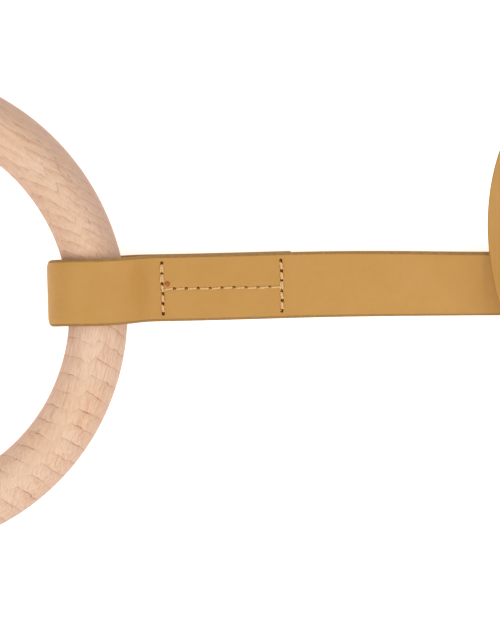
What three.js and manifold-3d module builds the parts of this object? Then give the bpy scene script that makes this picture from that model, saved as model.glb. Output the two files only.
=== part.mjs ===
// A pair of gymnastics rings. Each one is a round beech ring in the sewn loop of a flat strap. The strap
// lies on the floor, rolls up on one edge into a loose coil that rests on it, and ends in a second sewn
// loop that holds a swivel hook.
// Millimetres, +Z up. The origin is under the middle of the whole pair, on the floor.
import * as THREE from 'three';
import * as BufferGeometryUtils from 'three/addons/utils/BufferGeometryUtils.js';
import Module from 'manifold-3d';

const wasm = await Module();
wasm.setup();

// ---- Driving dimensions -------------------------------------------------------------------------------
const ringCount = 2;
const ringPitch = 300;            // from one ring to the next, along -Y
const tubeRadius = 14;            // the wooden ring's section
const ringRadius = 104;           // centre of the ring to the middle of its section
const strapWidth = 32;
const strapThick = 3;
const gap = 0.4;                  // between faces that touch
const ringOffset = -8.4;          // the ring's centre lies beside the strap's middle line

// The loop that holds the ring: it hangs slack on the inner side of the ring.
const loopSlack = 5.3;
const loopBore = tubeRadius + 1.9;
const loopMid = strapThick + loopBore;            // height of the ring's section in the loop
const loopLine = loopBore + strapThick / 2;       // radius of the strap's middle line round the section

// The sewn part: an H of thread, two lines across the strap joined by one along its middle.
const sewnGap = 17.1;             // from the ring's outer side to the first line of thread
const sewnLength = 57;            // between the two lines across the strap
const sewnEnd = 4.5;              // from the second line to the cut end
const sewnTop = 15.7;             // height of the upper layer at the first line
const landing = 130;              // length over which the strap comes down to the floor
const threadWide = 1;
const threadHigh = 0.5;
const threadInset = 4;            // from the ends of a line to the strap's edges

// The coil: two loose turns on their lower edge, sloping inwards like a lampshade.
const coilX = 393.2;
const coilY = 24;
const coilInner = 80;             // radii at the bottom
const coilOuter = 104.5;
const coilSlope = THREE.MathUtils.degToRad(50);
const coilLift = 13.5;            // one side rests on the strap that passes under it
const coilTilt = Math.asin(coilLift / (2 * coilOuter));

// The strap starts to roll up behind the sewn part, and is this steep where it goes under the coil.
const rollStart = 200;
const rollEnd = 295;
const turnStart = 322;            // from here on it turns into the coil
const sway = 1.5;                 // how far it has drifted sideways by then
const entryRoll = THREE.MathUtils.degToRad(13);

// The far end: strap loop, swivel eye and hook.
const hookX = 600;                // bar of the swivel eye
const hookZ = 7;
const eyeWire = 2.5;
const eyeLength = 13;
const hubRadius = 5.5;
const stemRadius = 2.2;
const hookWire = 3;
const bowRadius = 9;
const pinRadius = 1.2;
const runClear = 0.3;             // running clearance between metal pieces

// ---- Materials ----------------------------------------------------------------------------------------
const paint = (color, roughness, metalness) => new THREE.MeshStandardMaterial({ color, roughness, metalness });
const wood = paint(0xddbb9d, 0.62, 0);
const leather = paint(0xc9974f, 0.58, 0);
const thread = paint(0xe3b67c, 0.8, 0);
const steel = paint(0xb9bbbd, 0.3, 1);

// ---- Shapes -------------------------------------------------------------------------------------------

// Joins rows of points, each a closed outline, into one closed body. A closed loft has no end faces.
function loft(rows, closed = false) {
  const count = rows[0].length;
  const index = [];
  const last = closed ? rows.length : rows.length - 1;
  for (let row = 0; row < last; row += 1) {
    const next = (row + 1) % rows.length;
    for (let i = 0; i < count; i += 1) {
      const j = (i + 1) % count;
      index.push(row * count + i, row * count + j, next * count + j);
      index.push(row * count + i, next * count + j, next * count + i);
    }
  }
  if (!closed) {
    const end = (rows.length - 1) * count;
    for (let i = 1; i < count - 1; i += 1) {
      index.push(0, i + 1, i);
      index.push(end, end + i, end + i + 1);
    }
  }
  const geometry = new THREE.BufferGeometry().setFromPoints(rows.flat());
  geometry.setIndex(volume(geometry, index) < 0 ? index.reverse() : index);
  geometry.computeVertexNormals();
  return geometry;
}

function volume(geometry, index) {
  const at = (i) => new THREE.Vector3().fromBufferAttribute(geometry.attributes.position, i);
  let sum = 0;
  for (let i = 0; i < index.length; i += 3) {
    sum += at(index[i]).dot(at(index[i + 1]).cross(at(index[i + 2])));
  }
  return sum / 6;
}

const direction = (points, i, closed) => {
  const n = points.length;
  const before = closed ? points[(i + n - 1) % n] : points[Math.max(i - 1, 0)];
  const after = closed ? points[(i + 1) % n] : points[Math.min(i + 1, n - 1)];
  return after.clone().sub(before).normalize();
};

// A flat strap along points. across gives the way its width points, from a point and its tangent.
function strap(points, across, width = strapWidth, thick = strapThick) {
  const rows = points.map((point, i) => {
    const along = direction(points, i, false);
    const normal = along.clone().cross(across(point, along)).normalize();
    const side = normal.clone().cross(along).normalize();
    const corner = (s, t) => point.clone()
      .addScaledVector(side, s * width / 2)
      .addScaledVector(normal, t * thick / 2);
    return [corner(-1, -1), corner(1, -1), corner(1, 1), corner(-1, 1)];
  });
  return loft(rows);
}

// A round wire along points that lie flat, with up as the plane's normal.
function wire(points, radius, closed, sides = 10, up = new THREE.Vector3(0, 0, 1)) {
  const rows = points.map((point, i) => {
    const side = direction(points, i, closed).cross(up).normalize();
    return Array.from({ length: sides }, (_, k) => {
      const angle = 2 * Math.PI * k / sides;
      return point.clone()
        .addScaledVector(side, radius * Math.cos(angle))
        .addScaledVector(up, radius * Math.sin(angle));
    });
  });
  return loft(rows, closed);
}

// A turned piece: profile holds [radius, height] pairs of a closed outline, along +Z.
function turned(profile, segments = 24) {
  const outline = [...profile, profile[0]].map(([r, z]) => new THREE.Vector2(r, z));
  return new THREE.LatheGeometry(outline, segments).rotateX(Math.PI / 2);
}

const rod = (radius, from, to, segments = 20) =>
  new THREE.CylinderGeometry(radius, radius, to - from, segments)
    .translate(0, (from + to) / 2, 0)
    .rotateX(Math.PI / 2);

const block = (from, to) => new THREE.BoxGeometry(to[0] - from[0], to[1] - from[1], to[2] - from[2])
  .translate((from[0] + to[0]) / 2, (from[1] + to[1]) / 2, (from[2] + to[2]) / 2);

// Turns a piece made along Z so that it lies along X.
const alongX = (geometry) => geometry.rotateY(Math.PI / 2);

function solid(geometry) {
  const bare = geometry.clone();
  bare.deleteAttribute('normal');
  bare.deleteAttribute('uv');
  const merged = BufferGeometryUtils.mergeVertices(bare, 1e-4);
  return new wasm.Manifold(new wasm.Mesh({
    numProp: 3,
    vertProperties: new Float32Array(merged.attributes.position.array),
    triVerts: new Uint32Array(merged.index.array),
  }));
}

function shape(body) {
  const mesh = body.getMesh();
  const geometry = new THREE.BufferGeometry();
  geometry.setAttribute('position', new THREE.BufferAttribute(mesh.vertProperties, 3));
  geometry.setIndex(new THREE.BufferAttribute(mesh.triVerts, 1));
  geometry.computeVertexNormals();
  return geometry;
}

const join = (...geometries) => shape(geometries.map(solid).reduce((whole, piece) => whole.add(piece)));
const cut = (geometry, tool) => shape(solid(geometry).subtract(solid(tool)));

const smooth = (t) => THREE.MathUtils.smoothstep(t, 0, 1);
const sideways = () => new THREE.Vector3(0, 1, 0);

// Points of a path drawn in the plane of X and height, at the place y across.
const upright = (path, steps, y = 0) => path.getSpacedPoints(steps).map((p) => new THREE.Vector3(p.x, y, p.y));

// ---- The strap ----------------------------------------------------------------------------------------
const firstLine = ringRadius + tubeRadius + sewnGap;
const secondLine = firstLine + sewnLength;
const backEnd = secondLine + sewnEnd;
const runStart = 240;

// Height of the upper layer's middle from the first line of thread on, while it is flat.
const layerHeight = (x) => THREE.MathUtils.lerp(sewnTop, strapThick / 2, smooth((x - firstLine) / landing));

// A point of a strap with the angle that the strap has rolled up there, its lower edge at the same height.
function rolledPoint(x, y, z, angle) {
  const point = new THREE.Vector3(x, y, z + strapWidth / 2 * Math.sin(angle));
  point.roll = angle;
  return point;
}

const rolledAcross = (point, along) => {
  const left = new THREE.Vector3(-along.y, along.x, 0).normalize();
  return left.multiplyScalar(Math.cos(point.roll)).add(new THREE.Vector3(0, 0, Math.sin(point.roll)));
};

function layer(from, to, drop, step = 6) {
  const count = Math.max(2, Math.round(Math.abs(to - from) / step));
  return Array.from({ length: count + 1 }, (_, i) => {
    const x = THREE.MathUtils.lerp(from, to, i / count);
    const y = -sway * smooth((x - secondLine) / (turnStart - secondLine));
    const angle = entryRoll * smooth((x - rollStart) / (rollEnd - rollStart));
    return rolledPoint(x, y, layerHeight(x) - drop, angle);
  });
}

// From the cut end of the lower layer, round the ring, and back over it.
function ringLoop() {
  const drop = strapThick + gap;
  const lower = layer(backEnd, firstLine - 3, drop);
  const upper = layer(firstLine - 3, runStart, 0);
  const start = lower[lower.length - 1];
  const end = upper[0];
  const bottom = loopMid - loopLine;
  const top = loopMid + loopLine;
  const turn = new THREE.Path();
  turn.moveTo(start.x, start.z);
  turn.bezierCurveTo(start.x - 10, start.z, ringRadius + 15, bottom, ringRadius, bottom);
  turn.lineTo(ringRadius - loopSlack, bottom);
  turn.absarc(ringRadius - loopSlack, loopMid, loopLine, -Math.PI / 2, Math.PI / 2, true);
  turn.lineTo(ringRadius, top);
  turn.bezierCurveTo(ringRadius + 15, top, end.x - 10, end.z, end.x, end.z);
  const round = turn.getPoints(11).map((p) => new THREE.Vector3(p.x, 0, p.y)).slice(1, -1);
  const across = (point, along) => (point.roll ? rolledAcross(point, along) : sideways());
  return strap([...lower, ...round, ...upper], across);
}

const clearOfCoil = (strapThick / 2 + 3 * gap) / Math.sin(coilSlope);
const halfLean = strapWidth / 2 * Math.cos(coilSlope);

// The stretch between the entry and the coil, or between the coil and the flat tail: a plan curve, the
// angles that the strap has at its two ends, and how far it is off the floor there.
function turning(curve, from, to) {
  const steps = 16;
  return Array.from({ length: steps + 1 }, (_, i) => {
    const place = curve.getPoint(i / steps);
    const share = smooth(i / steps);
    const angle = THREE.MathUtils.lerp(from.angle, to.angle, share);
    const lift = THREE.MathUtils.lerp(from.lift, to.lift, share);
    return rolledPoint(place.x, place.y, lift + strapThick / 2 * Math.cos(angle), angle);
  });
}

// Under the coil, and up against the inside of its first turn.
function strapRun() {
  const innerSide = coilY - (coilInner - halfLean - clearOfCoil);
  const curve = new THREE.CubicBezierCurve(
    new THREE.Vector2(turnStart, -sway),
    new THREE.Vector2(turnStart + 26, -sway),
    new THREE.Vector2(coilX - 30, innerSide),
    new THREE.Vector2(coilX, innerSide),
  );
  const entry = { angle: entryRoll, lift: 0 };
  const coil = { angle: coilSlope, lift: coilLift / 2 };
  const flat = layer(runStart + gap, turnStart - 8, 0);
  return strap([...flat, ...turning(curve, entry, coil)], rolledAcross);
}

// The two turns together, as the ring that they fill.
function strapCoil() {
  const high = strapWidth * Math.sin(coilSlope);
  const profile = [
    [coilInner, 0],
    [coilOuter, 0],
    [coilOuter - 2 * halfLean, high],
    [coilInner - 2 * halfLean, high],
  ];
  return turned(profile, 48)
    .rotateY(coilTilt)
    .translate(coilX, coilY, coilLift / 2 + 0.3);
}

const tailY = coilY - (coilOuter - halfLean + clearOfCoil);
const tailZ = hookZ - eyeWire - 0.5 - strapThick / 2;         // middle of the lower layer at the hook
const tailLoop = eyeWire + 0.5 + strapThick / 2;
const tailFirst = hookX - 19;
const tailSecond = tailFirst - sewnLength;

// Off the outside of the coil, down flat again, round the bar of the eye and back over itself.
function strapTail() {
  const flatStart = 500;
  const curve = new THREE.LineCurve(new THREE.Vector2(coilX, tailY), new THREE.Vector2(flatStart, tailY));
  const coil = { angle: coilSlope, lift: coilLift / 2 };
  const flat = { angle: 0, lift: tailZ - strapThick / 2 };
  const fold = new THREE.Path();
  const over = tailZ + strapThick + gap;
  fold.moveTo(tailFirst, tailZ);
  fold.lineTo(hookX, tailZ);
  fold.absarc(hookX, hookZ, tailLoop, -Math.PI / 2, Math.PI / 2, false);
  fold.bezierCurveTo(hookX - 8, hookZ + tailLoop, tailFirst + 8, over, tailFirst, over);
  const ending = new THREE.Vector3(tailSecond - sewnEnd, tailY, over);
  const points = [...turning(curve, coil, flat), ...upright(fold, 28, tailY), ending];
  const across = (point, along) => (point.roll ? rolledAcross(point, along) : sideways());
  return strap(points, across);
}

// ---- The thread ---------------------------------------------------------------------------------------

// An H of thread on a layer: height gives the thread's middle at a place x.
function sewnH(lineA, lineB, height, y = 0) {
  const long = strapWidth - 2 * threadInset;
  const steps = 6;
  const middle = Array.from({ length: steps + 1 }, (_, i) => {
    const x = THREE.MathUtils.lerp(lineA, lineB, i / steps);
    return new THREE.Vector3(x, y, height(x));
  });
  const bar = strap(middle, sideways, threadWide, threadHigh);
  const line = (x) => block(
    [x - threadWide / 2, y - long / 2, height(x) - threadHigh / 2],
    [x + threadWide / 2, y + long / 2, height(x) + threadHigh / 2],
  );
  return join(bar, line(lineA), line(lineB));
}

const off = strapThick / 2 + gap + threadHigh / 2;
const ringThreadTop = () => sewnH(firstLine, secondLine, (x) => layerHeight(x) + off);
const ringThreadUnder = () => sewnH(firstLine, secondLine, (x) => layerHeight(x) - strapThick - gap - off);
const hookThreadTop = () => sewnH(tailSecond, tailFirst, () => tailZ + strapThick + gap + off, tailY);
const hookThreadUnder = () => sewnH(tailSecond, tailFirst, () => tailZ - off, tailY);

// ---- The ring -----------------------------------------------------------------------------------------

// It lies on the floor on the far side, and on the strap's lower layer in the loop.
function woodenRing() {
  const rise = loopMid - tubeRadius;
  return new THREE.TorusGeometry(ringRadius, tubeRadius, 14, 60)
    .rotateY(-Math.asin(rise / (2 * ringRadius)))
    .translate(0, ringOffset, tubeRadius + rise / 2 + 0.02);
}

// ---- The swivel hook, with its axis along X at y 0 and height 0, and the eye's bar at x 0 ---------------
const hubStart = eyeLength - 3;
const hubEnd = eyeLength + 3;
const collarStart = hubEnd + runClear;
const spineX = 30;
const bowX = 50;
const pivot = [28, 7.5];
const gateTip = 44.4;
const earThick = 1.5;
const earGap = 2.5;

function swivelEye() {
  const halfWide = strapWidth / 2 + 0.8 + eyeWire;
  const corner = 3;
  const outline = new THREE.Path();
  outline.moveTo(0, -halfWide + corner);
  outline.lineTo(0, halfWide - corner);
  outline.absarc(corner, halfWide - corner, corner, Math.PI, Math.PI / 2, true);
  outline.lineTo(eyeLength - corner, halfWide);
  outline.absarc(eyeLength - corner, halfWide - corner, corner, Math.PI / 2, 0, true);
  outline.lineTo(eyeLength, -halfWide + corner);
  outline.absarc(eyeLength - corner, -halfWide + corner, corner, 0, -Math.PI / 2, true);
  outline.lineTo(corner, -halfWide);
  outline.absarc(corner, -halfWide + corner, corner, -Math.PI / 2, -Math.PI, true);
  const points = outline.getPoints(4).map((p) => new THREE.Vector3(p.x, p.y, 0));
  const distinct = points.filter((p, i) => i === 0 || p.distanceTo(points[i - 1]) > 0.01);
  if (distinct[0].distanceTo(distinct[distinct.length - 1]) < 0.01) distinct.pop();
  const hub = alongX(rod(hubRadius, hubStart, hubEnd));
  const bore = alongX(rod(stemRadius + runClear, hubStart - 5, hubEnd + 5));
  return cut(join(wire(distinct, eyeWire, true), hub), bore);
}

function hookBody() {
  const path = new THREE.Path();
  path.moveTo(collarStart + 3, 0);
  path.bezierCurveTo(collarStart + 7, 0, spineX - 7, -bowRadius, spineX, -bowRadius);
  path.lineTo(bowX, -bowRadius);
  path.absarc(bowX, 0, bowRadius, -Math.PI / 2, Math.PI / 2, false);
  path.lineTo(gateTip + runClear + 0.3, bowRadius);
  const spine = path.getSpacedPoints(30).map((p) => new THREE.Vector3(p.x, p.y, 0));
  const head = alongX(rod(stemRadius + 1.4, hubStart - 2.5, hubStart - 0.5));
  const stem = alongX(rod(stemRadius, hubStart - 1, collarStart + 1));
  const collar = alongX(rod(4.8, collarStart, collarStart + 4.4));
  const ear = (low) => block([collarStart + 0.7, -2, low], [pivot[0] + 3, pivot[1] + 3, low + earThick]);
  const body = join(wire(spine, hookWire, false), head, stem, collar, ear(earGap), ear(-earGap - earThick));
  const hole = rod(pinRadius + runClear, -earGap - 5, earGap + 5).translate(pivot[0], pivot[1], 0);
  return cut(body, hole);
}

function gate() {
  const thick = 2.6;
  const half = 2.4;
  const low = -earGap + runClear;
  const reach = gateTip - pivot[0];
  const lever = new THREE.Shape();
  lever.moveTo(0, -half);
  lever.lineTo(reach, bowRadius - pivot[1] - half);
  lever.lineTo(reach, bowRadius - pivot[1] + half);
  lever.lineTo(0, half);
  lever.absarc(0, 0, half, Math.PI / 2, 3 * Math.PI / 2, false);
  const bar = new THREE.ExtrudeGeometry(lever, { depth: thick, bevelEnabled: false, curveSegments: 8 });
  const hole = rod(pinRadius + runClear, -5, 5);
  return cut(bar, hole).translate(pivot[0], pivot[1], low);
}

const gatePin = () => turned([
  [0, -earGap - earThick + 0.2],
  [pinRadius, -earGap - earThick + 0.2],
  [pinRadius, earGap + earThick + runClear],
  [2.2, earGap + earThick + runClear],
  [1.8, earGap + earThick + 1.2],
  [0, earGap + earThick + 1.4],
], 16).translate(pivot[0], pivot[1], 0);

const gateSpring = () => turned([
  [pinRadius + runClear, 0.7],
  [2.6, 0.7],
  [2.6, earGap - runClear],
  [pinRadius + runClear, earGap - runClear],
], 16).translate(pivot[0], pivot[1], 0);

// ---- The pair -----------------------------------------------------------------------------------------
const strapPieces = [
  ['ring', woodenRing, wood],
  ['strap_loop', ringLoop, leather],
  ['strap_run', strapRun, leather],
  ['strap_coil', strapCoil, leather],
  ['strap_tail', strapTail, leather],
  ['ring_thread_top', ringThreadTop, thread],
  ['ring_thread_under', ringThreadUnder, thread],
  ['hook_thread_top', hookThreadTop, thread],
  ['hook_thread_under', hookThreadUnder, thread],
];
const hookPieces = [
  ['swivel_eye', swivelEye, steel],
  ['hook_body', hookBody, steel],
  ['hook_gate', gate, steel],
  ['gate_pin', gatePin, steel],
  ['gate_spring', gateSpring, steel],
];

function ringSet(number) {
  const set = new THREE.Group();
  const hook = new THREE.Group();
  hook.position.set(hookX, tailY, hookZ);
  const addAll = (group, pieces) => pieces.forEach(([name, make, material]) => {
    const mesh = new THREE.Mesh(make(), material);
    mesh.name = `${name}_${number}`;
    group.add(mesh);
  });
  addAll(set, strapPieces);
  addAll(hook, hookPieces);
  set.add(hook);
  set.position.y = -ringPitch * (number - 1);
  return set;
}

const group = new THREE.Group();
for (let number = 1; number <= ringCount; number += 1) group.add(ringSet(number));

const extent = new THREE.Box3().setFromObject(group, true);
const middle = extent.getCenter(new THREE.Vector3());
group.position.set(-middle.x, -middle.y, -extent.min.z);

export default group;
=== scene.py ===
"""A pair of gymnastics rings: beech rings in sewn loops of flat faux-leather strap, with swivel hooks."""
import math
import random

import bmesh
import bpy
from mathutils import Euler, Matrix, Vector, noise


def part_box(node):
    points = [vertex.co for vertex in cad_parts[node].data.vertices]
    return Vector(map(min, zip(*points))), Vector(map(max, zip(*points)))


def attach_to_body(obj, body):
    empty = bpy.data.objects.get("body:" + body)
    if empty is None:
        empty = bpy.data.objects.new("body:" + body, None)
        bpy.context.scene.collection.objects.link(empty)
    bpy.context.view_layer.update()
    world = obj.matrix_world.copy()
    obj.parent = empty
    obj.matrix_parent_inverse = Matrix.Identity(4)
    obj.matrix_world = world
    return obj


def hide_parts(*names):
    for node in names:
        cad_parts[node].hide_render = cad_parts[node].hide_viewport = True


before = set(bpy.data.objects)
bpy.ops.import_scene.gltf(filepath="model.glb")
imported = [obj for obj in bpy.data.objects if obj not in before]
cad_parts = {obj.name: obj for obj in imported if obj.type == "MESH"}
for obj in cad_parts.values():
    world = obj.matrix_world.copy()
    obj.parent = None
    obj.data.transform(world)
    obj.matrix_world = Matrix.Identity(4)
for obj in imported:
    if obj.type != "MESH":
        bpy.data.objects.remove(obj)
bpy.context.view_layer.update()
MM = 0.001

# ---- Dimensions, in millimetres: the CAD model's, and the strap's own small departures from it -------------
TUBE = 14.0                      # radius of the ring's section in the CAD model
TUBE_EXTRA = 0.05                # what the turned section has over that, on average,
TUBE_BIAS = 0.3                  # what it gains on the ring's -Y side and loses on its +Y side,
TUBE_WANDER = 0.11               # and how far it wanders from place to place
STRAP_WIDE = 32.0
STRAP_THICK = 3.0
GAP = 0.4                        # between two layers of strap that lie on each other
LOOP_SLACK = 5.3                 # how far the loop stands off the ring, towards the ring's centre
LOOP_SKEW = 2.0                  # how far the loop has slid aside on the ring
SEWN_GAP = 17.1                  # from the ring's outer edge to the first line of thread
SEWN_LENGTH = 57.0               # from the first line across to the second
SEWN_END = 4.5                   # from the second line to the strap's cut end
SEWN_TOP = 15.7                  # height of the upper layer's middle at the first line
LANDING = 130.0                  # the upper layer is down on the floor this far from the first line
THREAD_INSET = 4.0               # from the strap's side to the first needle hole
THREAD_SUNK = 0.22               # the needle holes lie this far below the strap's face
CROSS_THREAD = 0.56              # thread size across the strap; a ply's radius is 0.5 to 0.7 of it
MIDDLE_THREAD = 0.36             # and in the line along the strap's middle
HOLE_RADIUS = 0.72
GROOVE_DEPTH = 0.32              # the thread has pulled the strap's face in by this much,
GROOVE_WIDE = 1.1                # fading out over about this distance
ROLL_START = 200.0               # the strap begins to roll on to its lower edge here,
ROLL_END = 295.0                 # and lies rolled by ENTRY_ROLL from here on
ENTRY_ROLL = math.radians(13)
TURN_START = 322.0               # the strap bends away into the coil here
SWAY = 1.5                       # how far it has drifted aside by then
COIL_SLOPE = math.radians(50)    # lean of the coil's wall, from lying flat
COIL_TURNS = 2
COIL_GROWTH = 11.0               # radius gained in each turn
COIL_OVER = 1.7                  # how far the last turn's lower edge passes the CAD coil's outer edge
COIL_WOBBLE = 1.5                # the turns are this much out of round,
COIL_LOBES = 4                   # in so many lobes
LOBE_PHASE = -2.09
FLAT_START = 500.0               # the tail lies flat from here on
HOOK_SEAM = 19.0                 # from the eye's bar back to the nearer line of thread
EDGE_ROUND = 1.35                # radius of the strap's cut edges
FOLD_CURL = 1.1                  # how far the two edges curl in where the strap folds round the ring
CURL_START = 11.5                # the curl begins this far from the strap's middle
EYE_WIRE = 2.5
EYE_BORE = 3.0                   # radius inside the strap's fold round the eye
HOOK_WIRE = 3.0
PIN_RADIUS = 1.2
FLOOR_HALF = 6000.0
FLOOR_DROP = 0.4
UP = Vector((0, 0, 1))
SIDEWAYS = Vector((0, 1, 0))


def smooth(t):
    t = min(max(t, 0.0), 1.0)
    return t * t * (3 - 2 * t)


def mix(a, b, t):
    return a + (b - a) * t


class Set:
    """Where one ring and its strap are, worked out from the CAD nodes' boxes. Local places are in
    millimetres from the ring's centre in X and the strap's middle line in Y, on the floor."""

    def __init__(self, number):
        self.number = number
        ring_low, ring_high = (Vector(c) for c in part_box(f"ring_{number}"))
        loop_low, loop_high = (Vector(c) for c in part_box(f"strap_loop_{number}"))
        coil_low, coil_high = (Vector(c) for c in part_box(f"strap_coil_{number}"))
        eye_low, eye_high = (Vector(c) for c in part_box(f"swivel_eye_{number}"))
        middle = (ring_low + ring_high) / 2
        self.origin = Vector((middle.x, (loop_low.y + loop_high.y) / 2, 0))
        self.ring_centre = self.local(middle)
        self.ring_radius = (ring_high.y - ring_low.y) / MM / 2 - TUBE
        self.ring_rise = (ring_high.z - ring_low.z) / MM - 2 * TUBE
        coil = self.local((coil_low + coil_high) / 2)
        self.coil = Vector((coil.x, coil.y, 0))
        self.coil_outer = (coil_high.y - coil_low.y) / MM / 2
        self.coil_lift = self.local(coil_high).z - STRAP_WIDE * math.sin(COIL_SLOPE)
        eye = self.local((eye_low + eye_high) / 2)
        self.hook = Vector((self.local(eye_low).x + EYE_WIRE, eye.y, eye.z))
        self.loop_top = self.local(loop_high).z

    def local(self, place):
        return (place - self.origin) / MM

    def world(self, place):
        return self.origin + place * MM

    def hook_world(self, place):
        return self.world(self.hook + place)

    def name(self, word):
        return f"{word}_{self.number}"


# ---- Mesh helpers ---------------------------------------------------------------------------------------
class Shape:
    """Points, faces and the material number of each face, gathered before they become one mesh."""

    def __init__(self):
        self.points = []
        self.faces = []
        self.kinds = []
        self.marks = []

    def loft(self, rows, closed=False, kinds=None, marks=None):
        """Joins rows of points into a skin, with its two ends capped unless it closes on itself."""
        start = len(self.points)
        count = len(rows[0])
        for row in rows:
            self.points.extend(row)
        self.marks.extend(marks if marks else [(0.0, 0.0)] * (len(rows) * count))
        last = len(rows) if closed else len(rows) - 1
        for r in range(last):
            upper = start + (r + 1) % len(rows) * count
            lower = start + r * count
            for i in range(count):
                j = (i + 1) % count
                self.add((lower + i, lower + j, upper + j, upper + i), kinds[i] if kinds else 0)
        if not closed:
            end = start + (len(rows) - 1) * count
            cap = max(kinds) if kinds else 0
            self.add(tuple(range(start + count - 1, start - 1, -1)), cap)
            self.add(tuple(range(end, end + count)), cap)

    def add(self, face, kind):
        self.faces.append(face)
        self.kinds.append(kind)

    def build(self, name, place, materials, flat_angle=None):
        mesh = bpy.data.meshes.new(name)
        mesh.from_pydata([place(p) for p in self.points], [], self.faces)
        for material in materials:
            mesh.materials.append(material)
        mesh.polygons.foreach_set("material_index", self.kinds)
        # Where the marks start again round a closed shape, its last faces count on to one.
        uv = mesh.uv_layers.new(name="surface")
        for face in mesh.polygons:
            marks = [self.marks[v] for v in face.vertices]
            last = [max(mark[axis] for mark in marks) for axis in range(2)]
            for corner, mark in zip(face.loop_indices, marks):
                uv.data[corner].uv = [m + 1 if last[axis] - m > 0.5 else m for axis, m in enumerate(mark)]
        tidy = bmesh.new()
        tidy.from_mesh(mesh)
        bmesh.ops.recalc_face_normals(tidy, faces=tidy.faces)
        tidy.to_mesh(mesh)
        tidy.free()
        mesh.shade_smooth()
        if flat_angle:
            mesh.set_sharp_from_angle(angle=math.radians(flat_angle))
        piece = bpy.data.objects.new(name, mesh)
        bpy.context.scene.collection.objects.link(piece)
        return piece


def tangents(points, closed=False):
    count = len(points)
    out = []
    for i in range(count):
        before = points[(i - 1) % count] if closed else points[max(i - 1, 0)]
        after = points[(i + 1) % count] if closed else points[min(i + 1, count - 1)]
        out.append((after - before).normalized())
    return out


def round_end(point, outward, radius, steps=5):
    """Points and radii from the tip of a wire's round end to its full section."""
    angles = [math.pi / 2 * k / steps for k in range(steps)]
    points = [point + outward * radius * math.cos(a) for a in angles]
    radii = [max(radius * math.sin(a), 0.02) for a in angles]
    return points, radii


def wire(shape, points, radius, sides=20, closed=False, up=UP, round_ends=False):
    """A round wire. radius is a number, or one for each point."""
    rows = []
    radii = radius if isinstance(radius, list) else [radius] * len(points)
    points = list(points)
    along = tangents(points, closed)
    if round_ends:
        head, head_radii = round_end(points[0], -along[0], radii[0])
        tail, tail_radii = round_end(points[-1], along[-1], radii[-1])
        points = head + points + tail[::-1]
        radii = head_radii + radii + tail_radii[::-1]
        along = [along[0]] * len(head) + along + [along[-1]] * len(tail)
    for point, size, tangent in zip(points, radii, along):
        side = tangent.cross(up).normalized()
        over = side.cross(tangent).normalized()
        angles = (2 * math.pi * k / sides for k in range(sides))
        rows.append([point + side * size * math.cos(a) + over * size * math.sin(a) for a in angles])
    shape.loft(rows, closed)


def turned(shape, profile, centre, axis, sides=32):
    """A turned piece: profile holds (distance along the axis, radius) pairs from one end to the other."""
    side = axis.orthogonal().normalized()
    other = axis.cross(side)
    rows = []
    for height, radius in profile:
        middle = centre + axis * height
        angles = (2 * math.pi * k / sides for k in range(sides))
        rows.append([middle + side * radius * math.cos(a) + other * radius * math.sin(a) for a in angles])
    shape.loft(rows)


def attach(piece, body, slot, *nodes):
    """Puts the piece on the body that carries it and hides the CAD nodes that it stands for. The slot
    argument is not used.
    """
    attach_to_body(piece, body)
    if nodes:
        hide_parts(*nodes)


def arc(centre, radius, start, end, steps):
    """Points of an arc in plan, at the centre's height. Angles are in degrees."""
    angles = (math.radians(mix(start, end, i / steps)) for i in range(steps + 1))
    return [centre + Vector((radius * math.cos(a), radius * math.sin(a), 0)) for a in angles]


def bezier(a, b, c, d, steps):
    points = []
    for i in range(steps + 1):
        t = i / steps
        s = 1 - t
        points.append(a * s ** 3 + b * 3 * s * s * t + c * 3 * s * t * t + d * t ** 3)
    return points


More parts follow.
